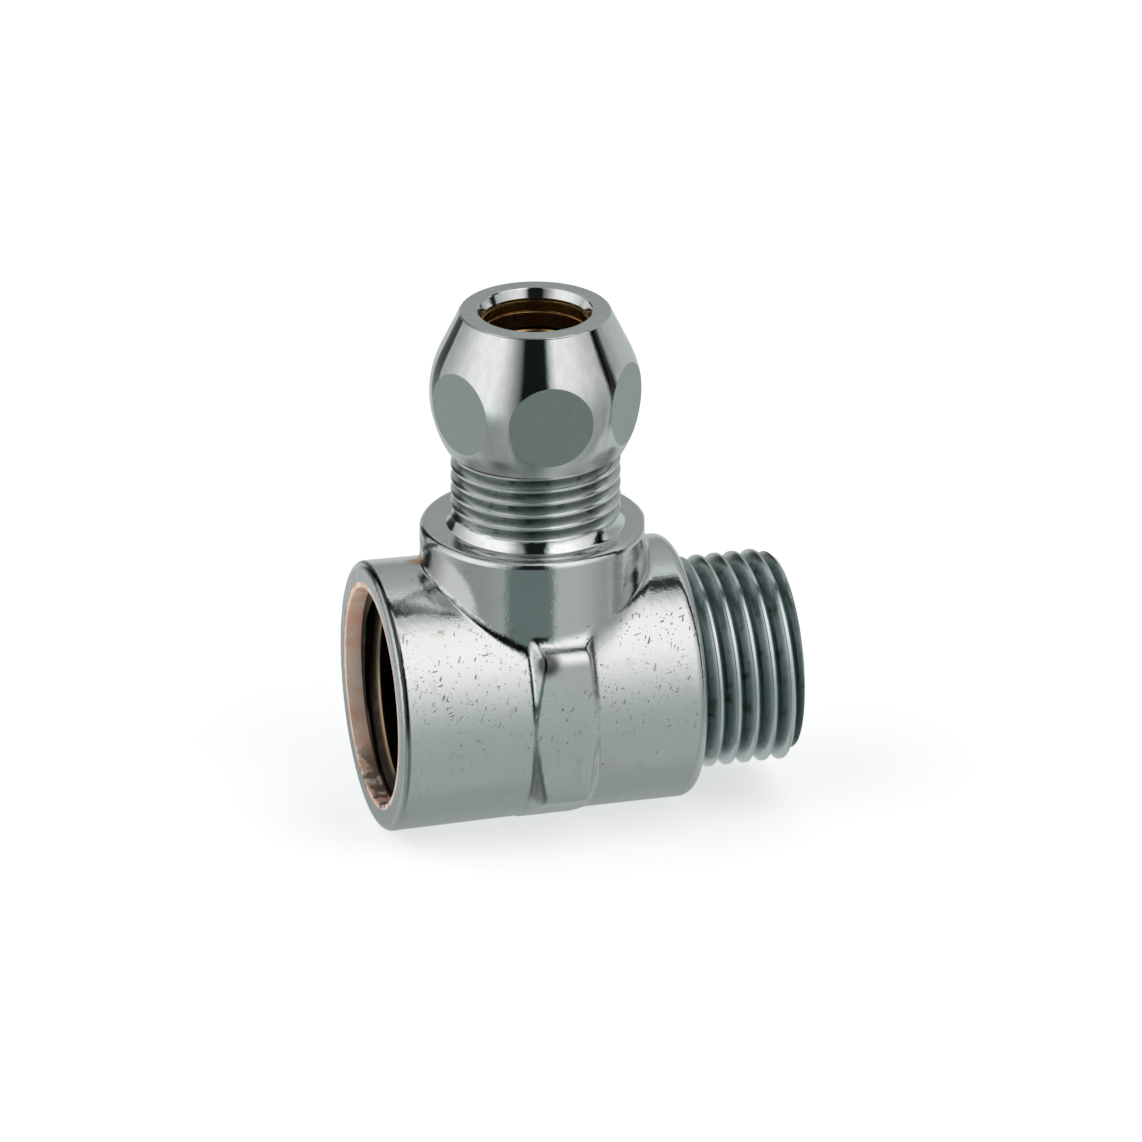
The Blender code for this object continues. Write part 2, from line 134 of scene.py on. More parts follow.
def mesh_object(name, points, faces):
    """An object from points in millimetres."""
    mesh = bpy.data.meshes.new(name)
    mesh.from_pydata((np.asarray(points) * MM).tolist(), [], faces)
    obj = bpy.data.objects.new(name, mesh)
    bpy.context.scene.collection.objects.link(obj)
    return obj


def finish_mesh(obj, sharp_angle):
    """Weld, turn the faces outward and keep edges steeper than sharp_angle crisp."""
    work = bmesh.new()
    work.from_mesh(obj.data)
    bmesh.ops.remove_doubles(work, verts=work.verts, dist=WELD_DISTANCE)
    bmesh.ops.dissolve_degenerate(work, edges=work.edges, dist=WELD_DISTANCE)
    bmesh.ops.recalc_face_normals(work, faces=work.faces)
    work.to_mesh(obj.data)
    work.free()
    obj.data.shade_smooth()
    obj.data.set_sharp_from_angle(angle=math.radians(sharp_angle))
    return obj


def arc(centre_r, centre_z, radius, start_deg, end_deg, steps):
    """Points (r, z) on a round corner."""
    angles = np.radians(np.linspace(start_deg, end_deg, steps + 1))
    return [(centre_r + radius * math.cos(a), centre_z + radius * math.sin(a)) for a in angles]


def turned(name, profile, steps=TURN_STEPS, sharp_angle=28):
    """A ring-shaped solid: a closed profile of (r, z) points turned about Z."""
    profile = np.array(profile)
    angles = 2 * math.pi * np.arange(steps) / steps
    count = len(profile)
    points = np.stack([
        np.outer(np.cos(angles), profile[:, 0]),
        np.outer(np.sin(angles), profile[:, 0]),
        np.outer(np.ones(steps), profile[:, 1]),
    ], -1).reshape(-1, 3)
    faces = []
    for step in range(steps):
        here, there = step * count, (step + 1) % steps * count
        for row in range(count):
            after = (row + 1) % count
            faces.append((here + row, there + row, there + after, here + after))
    return finish_mesh(mesh_object(name, points, faces), sharp_angle)


def thread_shape(share):
    """Height of a thread over one pitch, 0 to 1, with a broad crest, a narrow root and eased flanks."""
    from_crest = np.abs((share + 0.5) % 1 - 0.5)
    rise = np.clip((ROOT_START - from_crest) / FLANK_WIDTH, 0, 1)
    eased = rise * rise * (3 - 2 * rise)
    return FLANK_STRAIGHTNESS * rise + (1 - FLANK_STRAIGHTNESS) * eased


def threaded(
    name, pitch, crest_z, low, high, radius_at, rest_of_section, steps=THREAD_STEPS, rows=THREAD_ROWS,
):
    """A ring-shaped solid with a right-handed thread between low and high.

    radius_at(shape, z) gives the threaded side's radius from the thread's height, 0 to 1.
    rest_of_section lists the other (r, z) points, from the high end back to the low end.
    """
    first = math.floor((low - crest_z) / pitch) - 1
    turns = math.ceil((high - low) / pitch) + 2
    shares = np.arange(turns * rows + 1) / rows
    points = []
    for step in range(steps + 1):
        turn = step / steps
        height = np.clip(crest_z + pitch * (first + shares + turn), low, high)
        radius = radius_at(thread_shape((height - crest_z) / pitch - turn), height)
        section = np.concatenate([np.stack([radius, height], -1), np.array(rest_of_section, float)])
        angle = 2 * math.pi * turn
        points.append(np.stack([
            section[:, 0] * math.cos(angle), section[:, 0] * math.sin(angle), section[:, 1],
        ], -1))
    count = len(points[0])
    faces = []
    for step in range(steps):
        here, there = step * count, (step + 1) * count
        for row in range(count):
            after = (row + 1) % count
            faces.append((here + row, there + row, there + after, here + after))
    return finish_mesh(mesh_object(name, np.concatenate(points), faces), sharp_angle=38)


def lay_along_run(obj):
    """Turn a mesh made about Z onto the run, along +X, as the CAD does."""
    obj.data.transform(Matrix.Rotation(math.pi / 2, 4, "Y"))
    return obj


# ---------------------------------------------------------------- forged body, as a distance field

def soft_min(first, second, blend):
    """The nearer of two distances, with a fillet of about blend where they meet."""
    near = np.maximum(blend - np.abs(first - second), 0) / blend
    return np.minimum(first, second) - near * near * blend / 4


def soft_max(first, second, blend):
    """The farther of two distances, with the edge rounded by about blend."""
    return -soft_min(-first, -second, blend)


def round_bar(radial, along, radius, low, high, rounding):
    """Distance to a cylinder with rounded rims."""
    side = radial - (radius - rounding)
    end = np.abs(along - (low + high) / 2) - ((high - low) / 2 - rounding)
    outside = np.hypot(np.maximum(side, 0), np.maximum(end, 0))
    return np.minimum(np.maximum(side, end), 0) + outside - rounding


def band_step(run_r, inward, run):
    """Distance to a cone-shaped step of the band, from how far inward of its edge a point lies."""
    rise = run_r - PLAIN_BARREL_R + STEP_START
    return (rise * run - inward * BAND_RISE) / math.hypot(run, BAND_RISE)


def band_distance(x, y, z, run_r):
    """The wrench band: a hexagon with cone-shaped steps at its corners and a trimmed foot."""
    flats = np.abs(y) - BAND_APOTHEM
    for sign in (1, -1):
        flats = soft_max(flats, np.abs(y / 2 + sign * HEX_SLANT * z) - BAND_APOTHEM, BAND_CORNER_ROUND)
    band = soft_max(flats, band_step(run_r, x - BAND_LEFT, BAND_LEFT_RUN), BAND_LEFT_ROUND)
    band = soft_max(band, band_step(run_r, BAND_RIGHT - x, BAND_RIGHT_RUN), BAND_RIGHT_ROUND)
    return soft_max(band, -z - BAND_FOOT, BAND_FOOT_ROUND)


def hollow_distance(x, y, z, run_r):
    """Every bore of the forging. The ones that a threaded piece lines are hidden by it."""
    branch_r = np.hypot(x, y)
    hollow = run_r - RUN_BORE_R
    for cut in (
        np.maximum(run_r - SOCKET_HIDDEN_R, x - SOCKET_BOTTOM),
        np.maximum(run_r - MALE_HIDDEN_R, SHOULDER - MALE_HOLLOW - x),
        np.maximum(branch_r - BRANCH_BORE_R, -z),
        np.maximum(branch_r - STUB_HIDDEN_R, BOSS_TOP - STUB_HOLLOW - z),
    ):
        hollow = np.minimum(hollow, cut)
    return hollow


def body_distance(points):
    """Distance to the forged body, less its threads."""
    x, y, z = points[:, 0], points[:, 1], points[:, 2]
    run_r = np.hypot(y, z)
    taper = (SOCKET_BARREL_R - SOCKET_MOUTH_R) * (x - SOCKET_FACE) / (BAND_LEFT - SOCKET_FACE)
    socket = round_bar(run_r, x, SOCKET_MOUTH_R + taper, SOCKET_FACE, SOCKET_BARREL_END, MOUTH_ROUND)
    plain = round_bar(run_r, x, PLAIN_BARREL_R, PLAIN_BARREL_START, SHOULDER, SHOULDER_ROUND)
    run = np.where(x < BARREL_CHANGE, socket, plain)
    run = soft_min(run, band_distance(x, y, z, run_r), np.interp(x, *BAND_FILLETS))
    boss = round_bar(np.hypot(x - BOSS_SHIFT, y), z, BOSS_R, BOSS_BOTTOM, BOSS_TOP, BOSS_ROUND)
    flat = x * math.cos(BOSS_FLAT_ANGLE) + y * math.sin(BOSS_FLAT_ANGLE) - BOSS_FLAT
    boss = soft_max(boss, flat, BOSS_FLAT_ROUND)
    solid = soft_min(run, boss, np.interp(x, *BOSS_FILLETS))
    return soft_max(solid, -hollow_distance(x, y, z, run_r), BORE_ROUND)


def slope(distance, points, reach=0.01):
    """The direction in which a distance grows fastest, at each point."""
    result = np.empty_like(points)
    for axis in range(3):
        step = np.zeros(3)
        step[axis] = reach
        result[:, axis] = (distance(points + step) - distance(points - step)) / (2 * reach)
    return result


def settle(distance, points, rounds):
    """Move points onto the surface where a distance is zero."""
    for _ in range(rounds):
        grad = slope(distance, points)
        size = np.maximum((grad * grad).sum(1), LEAST_SLOPE_SQUARED)
        move = np.clip(distance(points) / size, -BODY_CELL / 2, BODY_CELL / 2)
        points = points - grad * move[:, None]
    return points


def surface_net(distance, low, high, cell):
    """A closed quad mesh where a distance is zero: one point in each cell that the surface crosses."""
    counts = np.ceil((high - low) / cell).astype(int) + 1
    ticks = [low[axis] + cell * np.arange(counts[axis]) for axis in range(3)]
    values = np.empty(counts, np.float32)
    plane = np.stack(np.meshgrid(ticks[1], ticks[2], indexing="ij"), -1).reshape(-1, 2)
    for index, x in enumerate(ticks[0]):
        slab = np.column_stack([np.full(len(plane), x), plane])
        values[index] = distance(slab).reshape(counts[1:])
    inside = values < 0
    corners = [(i, j, k) for i in (0, 1) for j in (0, 1) for k in (0, 1)]
    size = counts - 1
    held = sum(inside[i:i + size[0], j:j + size[1], k:k + size[2]].astype(np.int8) for i, j, k in corners)
    cells = np.argwhere((held > 0) & (held < 8))
    at_corner = {c: values[tuple((cells + c).T)] for c in corners}
    total = np.zeros((len(cells), 3))
    crossings = np.zeros(len(cells))
    for start in corners:
        for axis in range(3):
            if start[axis]:
                continue
            end = tuple(start[a] + (a == axis) for a in range(3))
            before, after = at_corner[start], at_corner[end]
            cut = (before < 0) != (after < 0)
            share = np.where(cut, before / np.where(cut, before - after, 1), 0)
            place = np.tile(np.array(start, float), (len(cells), 1))
            place[:, axis] += share
            total += place * cut[:, None]
            crossings += cut
    points = low + cell * (cells + total / crossings[:, None])
    number = np.full(size, -1, np.int64)
    number[tuple(cells.T)] = np.arange(len(cells))
    faces = []
    for axis in range(3):
        right, up = (axis + 1) % 3, (axis + 2) % 3
        ahead = [slice(None)] * 3
        ahead[axis] = slice(1, None)
        behind = [slice(None)] * 3
        behind[axis] = slice(0, -1)
        edges = np.argwhere(inside[tuple(behind)] != inside[tuple(ahead)])
        quad = []
        for shift in ((1, 1), (0, 1), (0, 0), (1, 0)):
            around = edges.copy()
            around[:, right] -= shift[0]
            around[:, up] -= shift[1]
            quad.append(number[tuple(around.T)])
        quad = np.stack(quad, -1)
        outward = inside[tuple(edges.T)]
        faces.append(np.where(outward[:, None], quad, quad[:, ::-1]))
    return points, np.concatenate(faces)


def forged_body():
    """The forging's skin, with soft fillets, thinned where it is plain, and shaded by its true slope."""
    margin = 2 * BODY_CELL
    side = SOCKET_MOUTH_R + BODY_SIDE_ROOM
    low = np.array([SOCKET_FACE, -side, -SOCKET_MOUTH_R]) - margin
    high = np.array([SHOULDER, side, BOSS_TOP]) + margin
    points, faces = surface_net(body_distance, low, high, BODY_CELL)
    points = settle(body_distance, points, rounds=3)
    dense = mesh_object("dense_body", points, faces.tolist())
    thin = dense.modifiers.new("Thin", "DECIMATE")
    thin.ratio = BODY_KEEP
    mesh = bpy.data.meshes.new_from_object(dense.evaluated_get(bpy.context.evaluated_depsgraph_get()))
    bpy.data.objects.remove(dense, do_unlink=True)
    body = bpy.data.objects.new("forged_body", mesh)
    bpy.context.scene.collection.objects.link(body)
    places = np.empty(len(mesh.vertices) * 3)
    mesh.vertices.foreach_get("co", places)
    places = settle(body_distance, places.reshape(-1, 3) / MM, rounds=2)
    mesh.vertices.foreach_set("co", (places * MM).ravel())
    mesh.shade_smooth()
    normals = slope(body_distance, places)
    normals /= np.linalg.norm(normals, axis=1)[:, None]
    mesh.normals_split_custom_set_from_vertices(normals.tolist())
    return body


# ---------------------------------------------------------------- threads

def male_thread():
    """The male thread on the run, with its chamfered end and its bore."""
    def radius_at(shape, z):
        plain = RUN_MINOR + (RUN_MAJOR - RUN_MINOR) * shape
        return np.minimum(plain, MALE_END_R + (MALE_END - z) * MALE_CHAMFER_SLOPE)
    low = SHOULDER - MALE_ROOT
    rest = [(RUN_BORE_R + BORE_CHAMFER, MALE_END), (RUN_BORE_R, MALE_END - BORE_CHAMFER), (RUN_BORE_R, low)]
    return lay_along_run(threaded("male_thread", RUN_PITCH, MALE_CREST, low, MALE_END, radius_at, rest))


def branch_stub():
    """The branch's thread, with its neck below and the ring's seat at its top."""
    low = BOSS_TOP - STUB_ROOT
    climb = np.linspace(0, 1, 9)
    neck_heights = BOSS_TOP + (NECK_TOP - BOSS_TOP) * climb
    neck_radii = NECK_R + (NECK_FOOT_R - NECK_R) * (1 - climb) ** NECK_FLARE
    neck = (
        (low, *neck_heights, NECK_TOP + STUB_RUNOUT),
        (NECK_FOOT_R, *neck_radii, BRANCH_MINOR),
    )

    def radius_at(shape, z):
        fade = np.clip((z - NECK_TOP + STUB_START) / STUB_FADE, 0, 1)
        plain = BRANCH_MINOR + (BRANCH_MAJOR - BRANCH_MINOR) * shape * fade
        plain = np.minimum(plain, BRANCH_MAJOR - STUB_CHAMFER + (STUB_TOP - z))
        return np.maximum(plain, np.interp(z, *neck))
    rest = [
        (SEAT_MOUTH_R, STUB_TOP),
        (TUBE_POCKET_R, STUB_TOP - SEAT_DEPTH),
        (TUBE_POCKET_R, TUBE_STOP),
        (BRANCH_BORE_R, TUBE_STOP),
        (BRANCH_BORE_R, low),
    ]
    return threaded("branch_stub", BRANCH_PITCH, STUB_CREST, low, STUB_TOP, radius_at, rest)


def socket_thread():
    """The female thread that lines the socket, behind its counterbore."""
    low = SOCKET_FACE + COUNTERBORE_DEPTH
    high = SOCKET_BOTTOM - LINER_OVERLAP
    deep = RUN_MAJOR + 2 * SOCKET_CLEARANCE
    lead = (
        (low, low + SOCKET_LEAD, high - SOCKET_RUNOUT_START, high - SOCKET_RUNOUT_END),
        (deep, RUN_MINOR, RUN_MINOR, deep),
    )

    def radius_at(shape, x):
        crest_r = RUN_MINOR + SOCKET_CLEARANCE
        plain = crest_r + (RUN_MAJOR - RUN_MINOR) * shape
        return np.maximum(plain, np.interp(x, *lead))
    rest = [(SOCKET_HIDDEN_R + LINER, high), (SOCKET_HIDDEN_R + LINER, low)]
    liner = threaded("socket_thread", RUN_PITCH, SOCKET_FACE, low, high, radius_at, rest, steps=96)
    return lay_along_run(liner)


def mouth_ring():
    """The turned counterbore inside the socket's mouth, with its corner broken."""
    back = SOCKET_FACE + COUNTERBORE_DEPTH + LINER_OVERLAP
    outer = SOCKET_HIDDEN_R + LINER
    profile = [(outer, back), (COUNTERBORE_R, back)]
    # The broken corner, from the bore out to the face
    for outward, inward in ((0.0, 0.14), (0.04, 0.05), (0.14, 0.01)):
        profile.append((COUNTERBORE_R + outward, SOCKET_FACE + inward))
    profile.append((outer, SOCKET_FACE + 0.02))
    return lay_along_run(turned("mouth_ring", profile, steps=160))


def nut_thread():
    """The thread inside the nut."""
    low, high = NUT_BOTTOM + NUT_THREAD_INSET, NUT_RELIEF_TOP - NUT_THREAD_TOP_GAP
    lead = (
        (low, low + NUT_THREAD_LEAD, high - NUT_RUNOUT_START, high - NUT_RUNOUT_END),
        (BRANCH_MAJOR, BRANCH_MINOR, BRANCH_MINOR, BRANCH_MAJOR),
    )
    outer = BRANCH_MAJOR + NUT_CLEARANCE + NUT_THREAD_WALL

    def radius_at(shape, z):
        plain = BRANCH_MINOR + (BRANCH_MAJOR - BRANCH_MINOR) * shape
        return np.maximum(plain, np.interp(z, *lead)) + NUT_CLEARANCE
    rest = [(outer, high), (outer, low)]
    return threaded("nut_thread", BRANCH_PITCH, STUB_CREST, low, high, radius_at, rest, steps=72, rows=8)


# ---------------------------------------------------------------- nut and ring

def nut_outline():
    """The nut's outer side, bottom to top: a barrel that flows into a cone, with a soft top rim."""
    down, up = np.linspace(1, 0, 19), np.linspace(0, 1, 11)[1:]
    radii = np.concatenate([
        NUT_WAIST_R - (NUT_WAIST_R - NUT_BOTTOM_R) * down ** NUT_SKIRT_POWER,
        NUT_WAIST_R - (NUT_WAIST_R - NUT_CONE_FOOT_R) * up ** 2,
        [NUT_TOP_R],
    ])
    heights = np.concatenate([
        NUT_WAIST + (NUT_BOTTOM - NUT_WAIST) * down,
        NUT_WAIST + (NUT_CONE_FOOT - NUT_WAIST) * up,
        [NUT_TOP],
    ])
    top = NUT_TOP - NUT_RIM_START
    points = []
    for height in np.linspace(NUT_BOTTOM, top, 64):
        from_end = min(height - NUT_BOTTOM, top - height)
        reach = NUT_SMOOTHING * np.clip(from_end / NUT_SMOOTHING_FADE, 0, 1)
        window = np.linspace(height - reach, height + reach, 9)
        points.append((float(np.interp(window, heights, radii).mean()), float(height)))
    return points + arc(NUT_TOP_R - NUT_RIM_ROUND, NUT_TOP - NUT_RIM_ROUND, NUT_RIM_ROUND, 20, 90, 4)


def nut_shell():
    """The nut, with six flats cut by a hexagonal bar."""
    lip_foot = NUT_TOP - NUT_LIP_DEPTH
    inside = [
        (NUT_LIP_R + NUT_LIP_EDGE, NUT_TOP),
        (NUT_LIP_R, NUT_TOP - 0.1),
        (NUT_TUBE_R + NUT_LIP_EDGE, lip_foot),
        (NUT_GROOVE_R, lip_foot - 0.12),
        (NUT_GROOVE_R, lip_foot - 0.32),
        (NUT_TUBE_R, lip_foot - 0.42),
        (NUT_TUBE_R, NUT_LINE + 0.1),
        (NUT_TUBE_R + NUT_LINE_DEPTH, NUT_LINE),
        (NUT_TUBE_R, NUT_LINE - 0.1),
        (NUT_TUBE_R, NUT_CONE_MOUTH + NUT_CONE_MOUTH_R - NUT_TUBE_R),
        (NUT_CONE_MOUTH_R, NUT_CONE_MOUTH),
        (NUT_CONE_MOUTH_R, NUT_RELIEF_TOP),
        (BRANCH_MAJOR + NUT_CLEARANCE, NUT_RELIEF_TOP),
        (BRANCH_MAJOR + NUT_CLEARANCE, NUT_BOTTOM),
    ]
    nut = turned("nut_shell", nut_outline() + inside)
    bar = bmesh.new()
    corner_r = NUT_APOTHEM / math.cos(math.pi / 6) * MM
    depth = 2 * (NUT_TOP - NUT_BOTTOM) * MM
    bmesh.ops.create_cone(bar, cap_ends=True, segments=6, radius1=corner_r, radius2=corner_r, depth=depth)
    spin = Matrix.Rotation(NUT_FLAT_ANGLE, 4, "Z")
    lift = Matrix.Translation((0, 0, (NUT_TOP + NUT_BOTTOM) / 2 * MM))
    bmesh.ops.transform(bar, verts=bar.verts, matrix=lift @ spin)
    bar_mesh = bpy.data.meshes.new("hexagon")
    bar.to_mesh(bar_mesh)
    bar.free()
    cutter = bpy.data.objects.new("hexagon", bar_mesh)
    bpy.context.scene.collection.objects.link(cutter)
    cut = nut.modifiers.new("Flats", "BOOLEAN")
    cut.operation = "INTERSECT"
    cut.solver = "EXACT"
    cut.object = cutter
    nut.data = bpy.data.meshes.new_from_object(nut.evaluated_get(bpy.context.evaluated_depsgraph_get()))
    nut.modifiers.clear()
    bpy.data.objects.remove(cutter, do_unlink=True)
    nut.data.shade_smooth()
    nut.data.set_sharp_from_angle(angle=math.radians(14))
    return nut


def paint_nut_faces(nut):
    """Give the flats the second material, and the bore below its lip the third."""
    normals = [Vector((math.cos(a), math.sin(a), 0)) for a in NUT_FLAT_ANGLE + math.pi / 3 * np.arange(6)]
    for face in nut.data.polygons:
        middle = face.center / MM
        if max(middle.dot(normal) for normal in normals) > NUT_APOTHEM - FLAT_TOLERANCE:
            face.material_index = 1
        elif math.hypot(middle.x, middle.y) < NUT_BARE_R and middle.z < NUT_BARE_TOP:
            face.material_index = 2


def brass_ring():
    """The compression ring: a short barrel with a cone at each end."""
    low, high = RING_LOW[2], RING_HIGH[2]
    half = [
        (RING_BORE_R, RING_BORE_CHAMFER),
        (RING_BORE_R + RING_BORE_CHAMFER_R, 0),
        (RING_END_R, 0),
        (RING_R - RING_EDGE_DROP, RING_CONE - RING_EDGE),
        (RING_R, RING_CONE + RING_EDGE),
    ]
    profile = [(radius, low + inward) for radius, inward in half]
    profile += [(radius, high - inward) for radius, inward in reversed(half)]
    return turned("brass_ring", profile, steps=120)


# ---------------------------------------------------------------- shader arithmetic

class Value:
    """A number in a node tree, so that masks read as plain arithmetic."""

    def __init__(self, tree, socket):
        self.tree = tree
        self.socket = socket

    def math(self, operation, *others):
        node = self.tree.nodes.new("ShaderNodeMath")
        node.operation = operation
        for slot, item in zip(node.inputs, (self, *others)):
            if isinstance(item, Value):
                self.tree.links.new(item.socket, slot)
            else:
                slot.default_value = item
        return Value(self.tree, node.outputs[0])

    def __add__(self, other):
        return self.math("ADD", other)

    def __sub__(self, other):
        return self.math("SUBTRACT", other)

    def __mul__(self, other):
        return self.math("MULTIPLY", other)

    def __truediv__(self, other):
        return self.math("DIVIDE", other)

    def ramp(self, low, high, start=0.0, end=1.0):
        """A smooth change from start to end as the value goes from low to high."""
        node = self.tree.nodes.new("ShaderNodeMapRange")
        node.interpolation_type = "SMOOTHSTEP"
        for slot, item in zip(node.inputs, (self, low, high, start, end)):
            if isinstance(item, Value):
                self.tree.links.new(item.socket, slot)
            else:
                slot.default_value = item
        return Value(self.tree, node.outputs[0])


def between(value, start, full, fade, end):
    """0 outside start to end, 1 from full to fade, with soft edges."""
    return value.ramp(start, full) * value.ramp(fade, end, 1.0, 0.0)


def mix_value(share, first, second):
    """A blend of two numbers."""
    return first * (share * -1 + 1) + second * share


def split(tree, socket):
    """The three parts of a vector."""
    node = tree.nodes.new("ShaderNodeSeparateXYZ")
    tree.links.new(socket, node.inputs[0])
    return [Value(tree, output) for output in node.outputs]


def places_mm(tree, stretch=(1, 1, 1), turn_deg=0.0):
    """The place on the piece, in millimetres, turned about Y and stretched for a drawn-out pattern."""
    source = tree.nodes.new("ShaderNodeTexCoord")
    turn = tree.nodes.new("ShaderNodeVectorRotate")
    turn.rotation_type = "Y_AXIS"
    turn.inputs["Angle"].default_value = math.radians(turn_deg)
    tree.links.new(source.outputs["Object"], turn.inputs["Vector"])
    scale = tree.nodes.new("ShaderNodeVectorMath")
    scale.operation = "MULTIPLY"
    scale.inputs[1].default_value = [part / MM for part in stretch]
    tree.links.new(turn.outputs[0], scale.inputs[0])
    return scale.outputs[0]


def noise(tree, place, scale, detail=2.0, distortion=0.0):
    """Soft random spots, 0 to 1."""
    node = tree.nodes.new("ShaderNodeTexNoise")
    node.inputs["Scale"].default_value = scale
    node.inputs["Detail"].default_value = detail
    node.inputs["Distortion"].default_value = distortion
    tree.links.new(place, node.inputs["Vector"])
    return Value(tree, node.outputs["Fac"])


def ragged(tree, place, scale, amount):
    """A place pushed about a little, so that what is drawn there gets uneven edges."""
    node = tree.nodes.new("ShaderNodeTexNoise")
    node.inputs["Scale"].default_value = scale
    tree.links.new(place, node.inputs["Vector"])
    push = tree.nodes.new("ShaderNodeVectorMath")
    push.operation = "MULTIPLY_ADD"
    push.inputs[1].default_value = (amount, amount, amount)
    tree.links.new(node.outputs["Color"], push.inputs[0])
    tree.links.new(place, push.inputs[2])
    return push.outputs[0]


def spots(tree, place, scale, size, share):
    """Small separate spots: 1 in a spot's middle, 0 outside, in only a share of the cells."""
    node = tree.nodes.new("ShaderNodeTexVoronoi")
    node.inputs["Scale"].default_value = scale
    tree.links.new(place, node.inputs["Vector"])
    pick = split(tree, node.outputs["Color"])[0].math("LESS_THAN", share)
    return Value(tree, node.outputs["Distance"]).ramp(size * 0.45, size, 1.0, 0.0) * pick


def mix_colour(tree, share, first, second):
    """A blend of two colours, each a tuple or a socket."""
    node = tree.nodes.new("ShaderNodeMix")
    node.data_type = "RGBA"
    tree.links.new(share.socket, node.inputs["Factor"])
    for name, colour in (("A", first), ("B", second)):
        slot = next(s for s in node.inputs if s.name == name and s.type == "RGBA")
        if isinstance(colour, tuple):
            slot.default_value = (*colour, 1)
        else:
            tree.links.new(colour, slot)
    return next(s for s in node.outputs if s.type == "RGBA")


def bump(tree, height, distance_mm, strength=1.0, under=None):
    """A bump of a height field, in millimetres."""
    node = tree.nodes.new("ShaderNodeBump")
    node.inputs["Strength"].default_value = strength
    node.inputs["Distance"].default_value = distance_mm * MM
    tree.links.new(height.socket, node.inputs["Height"])
    if under:
        tree.links.new(under, node.inputs["Normal"])
    return node.outputs["Normal"]


def metal(name):
    """A metal material and its tree and shader."""
    material = bpy.data.materials.new(name)
    material.use_nodes = True
    tree = material.node_tree
    shader = tree.nodes["Principled BSDF"]
    shader.inputs["Metallic"].default_value = 1.0
    return material, tree, shader


# ---------------------------------------------------------------- materials

CHROME = (0.68, 0.69, 0.69)
# The plate's colour on the underside, darker and greener as painted shade
CHROME_SHADED_LOW = (0.57, 0.60, 0.59)
# Dark colour of nicks and dirt, and painted shade in the thread roots
DIRT_AND_SHADE = (0.10, 0.08, 0.065)
STAIN = (0.50, 0.43, 0.36)
COPPER = (0.62, 0.33, 0.20)
COPPER_SPOT = (-11.3, 1.6, 13.1)
# Where a painted dark reflection lies on the band's corner
BAND_CORNER_REFLECTION = (-2.2, -13.1, 7.35)
MARK_REACH = 1.9
BRASS = (0.56, 0.34, 0.13)
BRASS_TARNISHED = (0.25, 0.15, 0.07)
# Painted dark, for shade at joins and under a step and for dark reflections
PAINTED_DARK = (0.03, 0.033, 0.034)
MOUTH_PALE, MOUTH_COPPER = (1.0, 0.81, 0.69), (0.93, 0.58, 0.42)
NUT_PLATE, NUT_PLATE_STREAK = (0.69, 0.695, 0.69), (0.63, 0.645, 0.64)
FLAT_DARK, FLAT_PALE = (0.32, 0.36, 0.352), (0.50, 0.55, 0.538)
# Thread colours: the root colours are painted shade in the grooves, and the stub's crest colour is a
# painted highlight. The socket's thread turns painted dark towards its deeper radius.
MALE_ROOT_SHADE, MALE_CREST_COLOUR = (0.26, 0.325, 0.325), (0.60, 0.65, 0.65)
STUB_ROOT_SHADE, STUB_CREST_HIGHLIGHT = (0.33, 0.37, 0.365), (0.78, 0.80, 0.795)
SOCKET_ROOT_SHADE, SOCKET_CREST_COLOUR = (0.045, 0.036, 0.028), (0.40, 0.28, 0.17)
SOCKET_SHADED_R, SOCKET_BROWN_R = RUN_MINOR + 0.55, RUN_MINOR + 0.08


def near(parts, middle, reach):
    """1 around a place, falling to 0 at a reach from it."""
    total = None
    for part, centre in zip(parts, middle):
        offset = part - centre
        total = offset * offset if total is None else total + offset * offset
    return total.math("SQRT").ramp(reach * 0.35, reach, 1.0, 0.0)


def nick_mask(tree, place, y, z, run_r):
    """Dashes, scores and pits on the barrels, most of them high on the front, and a few marks anywhere."""
    on_run = run_r.ramp(13.5, 13.9, 1.0, 0.0) * z.ramp(8.5, 11.5, 1.0, 0.0)
    shine_side = z.ramp(-1.5, 3.0, 0.12, 1.0) * y.ramp(-4.0, 4.0, 1.0, 0.45)
    patches = noise(tree, place, 0.28, 2).ramp(0.38, 0.58, 0.1, 1.0)
    dashes = spots(tree, ragged(tree, places_mm(tree, (2.7, 0.8, 0.7), -22), 1.7, 0.9), 1.0, 0.23, 0.46)
    scores = spots(tree, ragged(tree, places_mm(tree, (0.6, 1.8, 2.6), 16), 1.7, 0.9), 1.0, 0.21, 0.30)
    pits = spots(tree, ragged(tree, place, 3.0, 0.3), 3.1, 0.24, 0.35)
    nicks = (dashes + scores * 0.8 + pits * 0.7).math("MINIMUM", 1.0) * (on_run * shine_side * patches)
    return nicks.math("MAXIMUM", spots(tree, place, 0.9, 0.13, 0.25) * 0.5)


